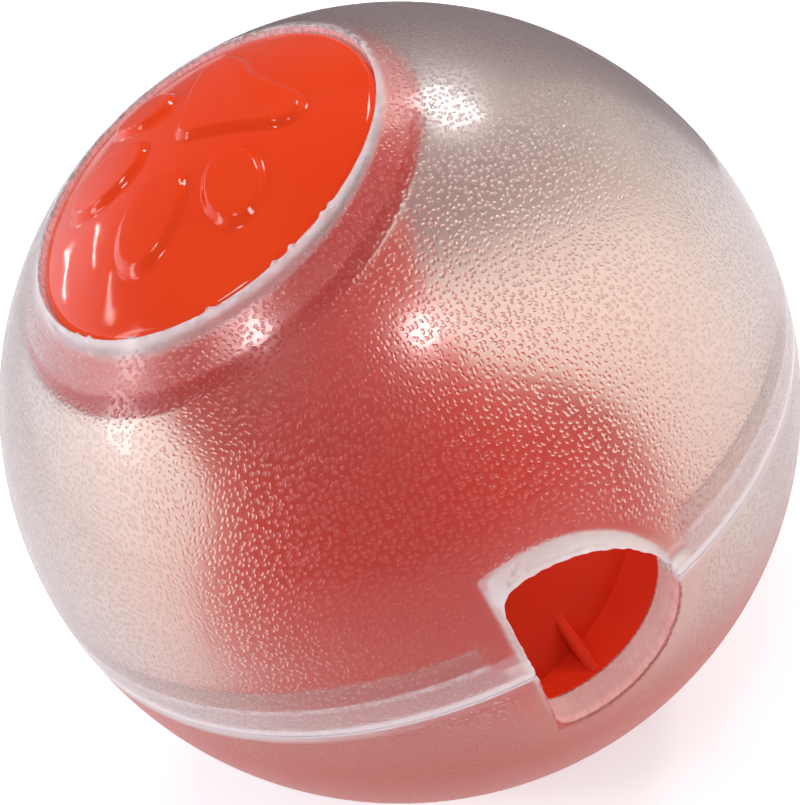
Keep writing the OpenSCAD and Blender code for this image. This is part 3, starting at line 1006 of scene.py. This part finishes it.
def core_piece(material):
    """The flared core's wall: its outer and inner outlines, each trimmed by the cap's seat above and
    the shell below, joined by a flat rim at both ends."""
    outer, inner = core_line(0.0), core_line(CORE_WALL)
    columns = []
    for a in np.linspace(0, 2 * math.pi, CORE_POINTS, endpoint=False):
        loop = np.concatenate([trimmed_line(outer, a), trimmed_line(inner, a)[::-1]])
        columns.append(around_core(loop[:, 0], loop[:, 1], np.full(len(loop), a)))
    return grid_piece("core_wall", np.stack(columns, 0), loop_u=True, loop_v=True, material=material)


def sphere_reach(z, phi, r):
    """Distance from the core's axis to a sphere about the ball's centre, at a height and a turn."""
    along = CORE_X * np.cos(phi) + CORE_Y * np.sin(phi)
    return -along + np.sqrt(along ** 2 - CORE_X ** 2 - CORE_Y ** 2 + r * r - z * z)


def shoulder_r_at(depth):
    """Radius of the core's outside at a depth below the seam, on the shoulder's arc."""
    centre = shoulder_centre()
    return centre[0] + math.sqrt(SHOULDER_CURVE_R ** 2 - (centre[1] + depth) ** 2)


def ledge_piece(material):
    """The ledge: a ring's section with a rounded outer edge, turned about the core's axis and cut
    off where it would pass the shell. Each radius is the lesser of the section's and the sphere's."""
    phi = np.linspace(0, 2 * math.pi, LEDGE_POINTS, endpoint=False)
    inner = shoulder_r_at(LEDGE_DEPTH) - CORE_WALL / 2
    outer = shoulder_r_at(LEDGE_DEPTH) + LEDGE_W
    top, low, r = -LEDGE_DEPTH, -LEDGE_DEPTH - LEDGE_T, LEDGE_EDGE_R
    above = arc((-r, top - r), r, math.pi / 2, 0, 6)
    under = arc((-r, low + r), r, 0, -math.pi / 2, 6)
    rows = []
    for inset, z in [(-LEDGE_FLAT_ROW, top), *above, *under, (-LEDGE_FLAT_ROW, low)]:
        edge = np.minimum(outer, sphere_reach(z, phi, CORE_OUT_R))
        rows.append(around_core(np.maximum(edge + inset, inner), z, phi))
    for z in (low, top):
        tucked = np.minimum(inner, sphere_reach(z, phi, CORE_OUT_R) - LEDGE_ROOT_GAP)
        rows.append(around_core(tucked, z, phi))
    return grid_piece("core_ledge", np.stack(rows, 1), loop_u=True, loop_v=True, material=material)


def fin_piece(material):
    """The fin: a plate over its outline in the (x, z) plane, with rounded edges. Each row is the
    outline drawn inwards by a rounding, at a place across the thickness, and a point closes each
    face in its middle."""
    root = CORE_X + math.sqrt(shoulder_r_at(FIN_DEPTH) ** 2 - CORE_Y ** 2)
    foot = CORE_X + math.sqrt((shoulder_r_at(LEDGE_DEPTH) + FIN_FOOT_W) ** 2 - CORE_Y ** 2)
    back = root - CORE_WALL / 2
    low = -LEDGE_DEPTH - LEDGE_T / 2
    top_side = [[back, -FIN_DEPTH], [root, -FIN_DEPTH], [foot, -LEDGE_DEPTH]]
    low_side = [[foot, low], [root, low], [back, low]]
    outline = closed_line(np.array(top_side + low_side), FIN_STEP)
    ahead = unit(np.roll(outline, -1, 0) - np.roll(outline, 1, 0))
    inwards = np.stack([ahead[:, 1], -ahead[:, 0]], 1)
    middle = np.tile(outline.mean(0), (len(outline), 1))

    def at(line, y):
        return np.insert(line, 1, y, axis=1)

    rows = [at(middle, -FIN_T / 2)]
    for side in (-1, 1):
        for a in np.linspace(0, math.pi / 2, 5)[::side]:
            line = outline + inwards * FIN_EDGE_R * (1 - math.cos(a))
            rows.append(at(line, side * (FIN_T / 2 - FIN_EDGE_R * (1 - math.sin(a)))))
    rows.append(at(middle, FIN_T / 2))
    return grid_piece("core_fin", np.stack(rows, 1), loop_u=True, material=material)


def build_camera():
    data = bpy.data.cameras.new("camera")
    data.sensor_width = SENSOR
    data.lens = SENSOR * FOCAL_PX / PHOTO_LONG_SIDE
    data.clip_start, data.clip_end = 0.01, 20
    camera = bpy.data.objects.new("camera", data)
    bpy.context.scene.collection.objects.link(camera)
    back = CAMERA_BACK.normalized()
    right = (CAMERA_RIGHT - CAMERA_RIGHT.dot(back) * back).normalized()
    up = back.cross(right)
    turn = Matrix((right, up, back)).transposed().to_4x4()
    turn.translation = back * CAMERA_SPAN * BALL_R
    camera.matrix_world = turn
    bpy.context.scene.camera = camera


def lamp(name, direction, span, wide, tall, watts, mirrored=False):
    """A soft panel that looks at the ball from a direction, its height upright in the world, or
    upright in the picture that the ball mirrors."""
    data = bpy.data.lights.new(name, "AREA")
    data.shape, data.size, data.size_y = "RECTANGLE", wide, tall
    data.energy = watts
    panel = bpy.data.objects.new(name, data)
    bpy.context.scene.collection.objects.link(panel)
    way = Vector(direction).normalized()
    panel.location = way * span
    mirror = (way + CAMERA_BACK).normalized()
    across = CAMERA_RIGHT - CAMERA_RIGHT.dot(mirror) * mirror if mirrored else Vector((0, 0, 1)).cross(way)
    side = (across - across.dot(way) * way).normalized()
    panel.rotation_mode = "QUATERNION"
    panel.rotation_quaternion = Matrix((side, way.cross(side), way)).transposed().to_quaternion()
    return panel


def build_world():
    """Pale walls at both sides, dim ones before and behind, and a dim ceiling. The camera and the
    clear walls see white in their place."""
    world = bpy.data.worlds.new("studio")
    bpy.context.scene.world = world
    f = Finish("studio", world)
    x, y, height = f.parts(f.node("ShaderNodeTexCoord")[0])
    front, across = FRONT_X * x + FRONT_Y * y, -FRONT_Y * x + FRONT_X * y
    walls = f.mix(across.step(*LEFT_BAND), BACK_WALL, LEFT_WALL)
    walls = f.mix(across.step(*RIGHT_BAND), walls, RIGHT_WALL)
    walls = f.mix(front.step(*FRONT_BAND), walls, FRONT_WALL)
    room = f.mix(height.step(*CEILING_BAND), walls, CEILING)
    light = f.node("ShaderNodeBackground", None, room, 1.0)[0]
    white = f.node("ShaderNodeBackground", None, (1, 1, 1, 1), 1.0)[0]
    f.out(f.blend(f.rays(CAMERA_RAY, TRANSMISSION_RAY), light, white), "ShaderNodeOutputWorld")


def build_floor():
    """A pale floor just under the ball, as a flat grid of points."""
    side = np.linspace(-FLOOR_HALF, FLOOR_HALF, 25)
    gx, gy = np.meshgrid(side, side, indexing="ij")
    floor = grid_piece("floor", np.stack([gx, gy, np.full(gx.shape, -BALL_R - FLOOR_GAP)], -1))
    f = Finish("pale_floor")
    glow = f.mix(f.rays(CAMERA_RAY), FLOOR_GLOW, FLOOR_SHOWN)
    shader = f.plastic(Base_Color=FLOOR_COLOUR, Roughness=0.8, Emission_Color=glow, Emission_Strength=1.0)
    floor.data.materials.append(f.out(shader))


def build_screen():
    """An upright grey card behind the ball, which only mirrored rays and clear walls see. It starts
    at its near edge and runs square to the studio's front."""
    heights = (-BALL_R, CARD_TOP)
    card = [[[CARD_X - FRONT_Y * t, CARD_Y + FRONT_X * t, h] for h in heights] for t in (0.0, CARD_W)]
    screen = grid_piece("dim_screen", np.array(card))
    f = Finish("grey_card")
    shader = f.plastic(Base_Color=CARD_COLOUR, Roughness=0.9, Specular_IOR_Level=0.2)
    screen.data.materials.append(f.out(shader))
    screen.visible_camera = screen.visible_shadow = screen.visible_diffuse = False


def build_lamps():
    """Soft panels for the light and the glints. The side panel lights the ball but isn't mirrored."""
    panels = {name: lamp(name, *sizes) for name, sizes in LAMPS.items()}
    panels["side"].visible_glossy = panels["side"].visible_transmission = False
    for name, way in STREAKS.items():
        lamp(name, way, *STREAK_SIZE, mirrored=True)


def dress_nodes():
    """Builds every piece, lets it ride on its body and puts it in its CAD node's place."""
    shell = clear_shell()
    for name, half in (("upper_shell", 1), ("lower_shell", -1)):
        piece = shell_piece(name + "_moulding", half, shell)
        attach(piece, name.replace("shell", "body"))
        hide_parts(name)
    core = red_plastic("core_plastic", CORE_REDS, roughness=0.38, shine=0.08, wave=CORE_WAVE)
    cap = red_plastic("cap_plastic", CAP_REDS, roughness=0.08, shine=0.26, wave=CAP_WAVE)
    moulding = [core_piece(core), ledge_piece(core), fin_piece(core)]
    for piece in moulding:
        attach(piece, "core_body")
    top = cap_piece(cap)
    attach(top, "core_body")
    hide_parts("paw_cap")
    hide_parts("treat_core")


build_camera()
build_world()
build_floor()
build_screen()
build_lamps()
dress_nodes()
bpy.context.scene.view_settings.view_transform = "Standard"
